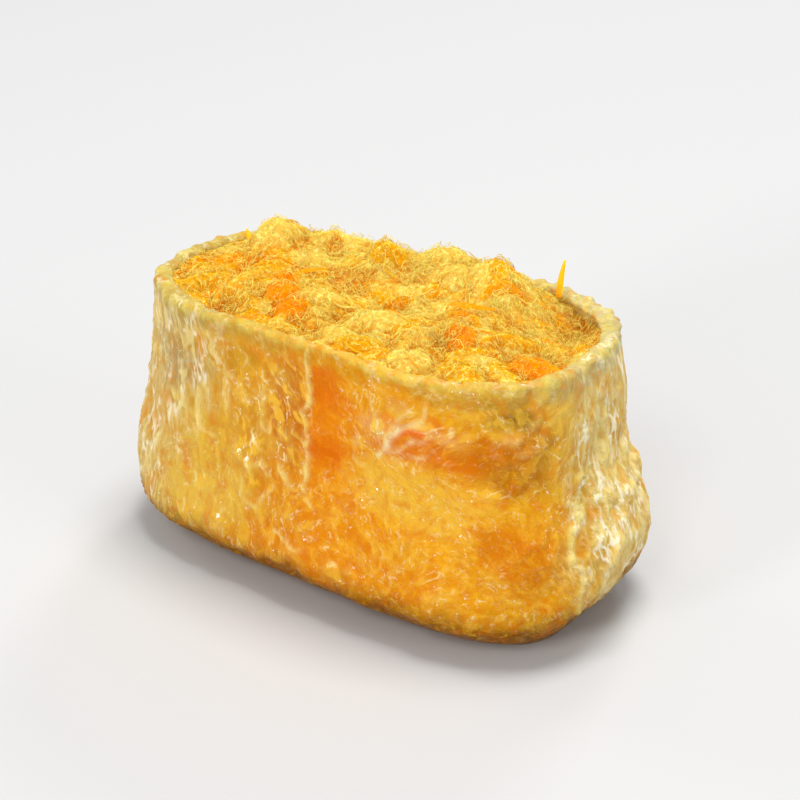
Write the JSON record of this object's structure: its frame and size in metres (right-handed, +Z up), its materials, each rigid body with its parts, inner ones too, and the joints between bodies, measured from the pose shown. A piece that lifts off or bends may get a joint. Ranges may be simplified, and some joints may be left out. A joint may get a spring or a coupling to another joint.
{
  "type": "inari sushi",
  "caption": "Simmered fried-tofu pouch with an open, rounded rim and a flared belly, heaped with fine golden meat floss.",
  "frame": {"origin": "middle of the bounding box, at the level the pouch stands on", "axes": "+Z up through the open rim, +X along the pouch's length, -Y towards its front"},
  "size_m": [0.0652, 0.0354, 0.0386],
  "materials": {
    "tofu_skin": "moist, finely wrinkled, golden",
    "meat_floss": "dry, fibrous, golden yellow"
  },
  "bodies": {
    "root": {"tofu_pouch": "tofu_skin", "floss_filling": "meat_floss"}
  },
  "joints": []
}
